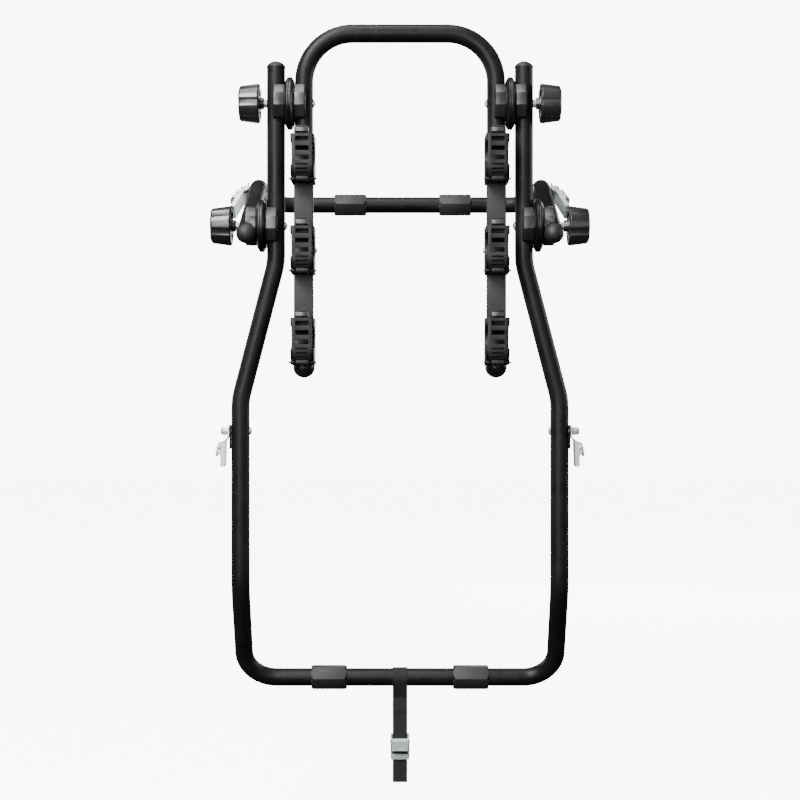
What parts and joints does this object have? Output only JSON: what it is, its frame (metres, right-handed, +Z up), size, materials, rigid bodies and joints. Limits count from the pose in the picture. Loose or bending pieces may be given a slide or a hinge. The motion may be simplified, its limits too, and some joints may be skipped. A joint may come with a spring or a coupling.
{
  "type": "trunk mounted bike rack",
  "caption": "Folding car trunk bike rack: bent black tube frames on toothed disc joints, with hand knobs, cradles with ladder straps, rubber pads and cam buckles.",
  "frame": {"origin": "middle of the bottom bar's axis", "axes": "+X to the right as seen by a person behind the car, +Y towards the car, +Z up"},
  "size_m": [0.6196, 0.4968, 1.266],
  "materials": {
    "black_paint": "satin black powder coat",
    "zinc_steel": "bright zinc plate",
    "moulded_black": "fine moulded grain",
    "sleeve_grey": "dark grey sleeve",
    "strap_rubber": "soft black rubber",
    "pad_rubber": "firm black rubber",
    "webbing": "woven black webbing"
  },
  "bodies": {
    "main_frame": {"main_tube": "black_paint", "main_end_caps": "moulded_black", "bumper_pad_left": "pad_rubber", "bumper_pad_right": "pad_rubber", "upper_main_disc_left": "moulded_black", "upper_main_disc_right": "moulded_black", "lower_main_disc_left": "moulded_black", "lower_main_disc_right": "moulded_black", "lower_bolts": "zinc_steel", "upper_spacers": "zinc_steel", "side_buckle_bolts": "zinc_steel", "backing_plates": "black_paint"},
    "carrier_frame": {"carrier_tube": "black_paint", "arm_end_caps": "moulded_black", "arm_cover_left": "sleeve_grey", "arm_cover_right": "sleeve_grey", "upper_carrier_disc_left": "moulded_black", "upper_carrier_disc_right": "moulded_black", "upper_bolts": "zinc_steel", "cradle_left_1": "moulded_black", "cradle_left_2": "moulded_black", "cradle_left_3": "moulded_black", "cradle_right_1": "moulded_black", "cradle_right_2": "moulded_black", "cradle_right_3": "moulded_black", "strap_pins": "moulded_black"},
    "support_frame": {"support_tube": "black_paint", "support_end_caps": "moulded_black", "lower_support_disc_left": "moulded_black", "lower_support_disc_right": "moulded_black", "window_pad_left": "pad_rubber", "window_pad_right": "pad_rubber", "lower_spacers": "zinc_steel", "leg_buckle_bolts": "zinc_steel"},
    "tie_strap": {"webbing_strap": "webbing", "strap_buckle": "zinc_steel"},
    "tie_cam": {"strap_cam": "zinc_steel"},
    "upper_knob_left": {"upper_knob_left": "moulded_black"},
    "upper_knob_right": {"upper_knob_right": "moulded_black"},
    "lower_knob_left": {"lower_knob_left": "moulded_black"},
    "lower_knob_right": {"lower_knob_right": "moulded_black"},
    "side_buckle_left": {"side_buckle_left": "zinc_steel"},
    "side_buckle_right": {"side_buckle_right": "zinc_steel"},
    "leg_buckle_left": {"leg_buckle_left": "zinc_steel"},
    "leg_buckle_right": {"leg_buckle_right": "zinc_steel"},
    "side_cam_left": {"side_cam_left": "zinc_steel"},
    "side_cam_right": {"side_cam_right": "zinc_steel"},
    "leg_cam_left": {"leg_cam_left": "zinc_steel"},
    "leg_cam_right": {"leg_cam_right": "zinc_steel"},
    "ladder_strap_left_1": {"ladder_strap_left_1": "strap_rubber"},
    "ladder_strap_left_2": {"ladder_strap_left_2": "strap_rubber"},
    "ladder_strap_left_3": {"ladder_strap_left_3": "strap_rubber"},
    "ladder_strap_right_1": {"ladder_strap_right_1": "strap_rubber"},
    "ladder_strap_right_2": {"ladder_strap_right_2": "strap_rubber"},
    "ladder_strap_right_3": {"ladder_strap_right_3": "strap_rubber"}
  },
  "joints": [
    {"name": "carrier_pivot", "type": "hinge", "parent": "main_frame", "child": "carrier_frame", "pos_m": [0, -0.088, 0.957], "axis": [1, 0, 0], "range_deg": [-105, 0]},
    {"name": "support_pivot", "type": "hinge", "parent": "main_frame", "child": "support_frame", "pos_m": [0, -0.088, 0.756], "axis": [1, 0, 0], "range_deg": [-80, 50]},
    {"name": "upper_knob_turn_left", "type": "hinge", "parent": "carrier_frame", "child": "upper_knob_left", "pos_m": [-0.241, -0.088, 0.957], "axis": [1, 0, 0], "continuous": true},
    {"name": "lower_knob_turn_left", "type": "hinge", "parent": "main_frame", "child": "lower_knob_left", "pos_m": [-0.287, -0.088, 0.756], "axis": [1, 0, 0], "continuous": true},
    {"name": "upper_knob_turn_right", "type": "hinge", "parent": "carrier_frame", "child": "upper_knob_right", "pos_m": [0.241, -0.088, 0.957], "axis": [1, 0, 0], "continuous": true},
    {"name": "lower_knob_turn_right", "type": "hinge", "parent": "main_frame", "child": "lower_knob_right", "pos_m": [0.287, -0.088, 0.756], "axis": [1, 0, 0], "continuous": true},
    {"name": "ladder_strap_hinge_left_1", "type": "hinge", "parent": "carrier_frame", "child": "ladder_strap_left_1", "pos_m": [-0.1577, -0.13161, 0.8278], "axis": [1, 0, 0], "range_deg": [0, 90]},
    {"name": "ladder_strap_hinge_left_2", "type": "hinge", "parent": "carrier_frame", "child": "ladder_strap_left_2", "pos_m": [-0.1577, -0.13161, 0.6793], "axis": [1, 0, 0], "range_deg": [0, 90]},
    {"name": "ladder_strap_hinge_left_3", "type": "hinge", "parent": "carrier_frame", "child": "ladder_strap_left_3", "pos_m": [-0.1577, -0.13161, 0.5308], "axis": [1, 0, 0], "range_deg": [0, 90]},
    {"name": "ladder_strap_hinge_right_1", "type": "hinge", "parent": "carrier_frame", "child": "ladder_strap_right_1", "pos_m": [0.1577, -0.13161, 0.8278], "axis": [1, 0, 0], "range_deg": [0, 90]},
    {"name": "ladder_strap_hinge_right_2", "type": "hinge", "parent": "carrier_frame", "child": "ladder_strap_right_2", "pos_m": [0.1577, -0.13161, 0.6793], "axis": [1, 0, 0], "range_deg": [0, 90]},
    {"name": "ladder_strap_hinge_right_3", "type": "hinge", "parent": "carrier_frame", "child": "ladder_strap_right_3", "pos_m": [0.1577, -0.13161, 0.5308], "axis": [1, 0, 0], "range_deg": [0, 90]},
    {"name": "side_buckle_swivel_left", "type": "hinge", "parent": "main_frame", "child": "side_buckle_left", "pos_m": [-0.262, -0.088, 0.419], "axis": [1, 0, 0], "range_deg": [-60, 60]},
    {"name": "leg_buckle_swivel_left", "type": "hinge", "parent": "support_frame", "child": "leg_buckle_left", "pos_m": [-0.2497, 0.1011, 0.84019], "axis": [1, 0, 0], "range_deg": [-60, 60]},
    {"name": "side_cam_press_left", "type": "hinge", "parent": "side_buckle_left", "child": "side_cam_left", "pos_m": [-0.29521, -0.088, 0.39233], "axis": [0, -1, 0], "range_deg": [0, 20], "stiffness_Nm_per_rad": 0.05, "springref_deg": -20.05},
    {"name": "leg_cam_press_left", "type": "hinge", "parent": "leg_buckle_left", "child": "leg_cam_left", "pos_m": [-0.28403, 0.08777, 0.82185], "axis": [0, -0.809, 0.5878], "range_deg": [0, 20], "stiffness_Nm_per_rad": 0.05, "springref_deg": -20.05},
    {"name": "side_buckle_swivel_right", "type": "hinge", "parent": "main_frame", "child": "side_buckle_right", "pos_m": [0.262, -0.088, 0.419], "axis": [1, 0, 0], "range_deg": [-60, 60]},
    {"name": "leg_buckle_swivel_right", "type": "hinge", "parent": "support_frame", "child": "leg_buckle_right", "pos_m": [0.2497, 0.1011, 0.84019], "axis": [1, 0, 0], "range_deg": [-60, 60]},
    {"name": "side_cam_press_right", "type": "hinge", "parent": "side_buckle_right", "child": "side_cam_right", "pos_m": [0.29521, -0.088, 0.39233], "axis": [0, 1, 0], "range_deg": [0, 20], "stiffness_Nm_per_rad": 0.05, "springref_deg": -20.05},
    {"name": "leg_cam_press_right", "type": "hinge", "parent": "leg_buckle_right", "child": "leg_cam_right", "pos_m": [0.28403, 0.08777, 0.82185], "axis": [0, 0.809, -0.5878], "range_deg": [0, 20], "stiffness_Nm_per_rad": 0.05, "springref_deg": -20.05},
    {"name": "tie_strap_swing", "type": "hinge", "parent": "main_frame", "child": "tie_strap", "pos_m": [0, 0, 0], "axis": [1, 0, 0], "range_deg": [-80, 80]},
    {"name": "tie_cam_press", "type": "hinge", "parent": "tie_strap", "child": "tie_cam", "pos_m": [0, -0.0061, -0.108], "axis": [1, 0, 0], "range_deg": [0, 20], "stiffness_Nm_per_rad": 0.05, "springref_deg": -20.05}
  ]
}
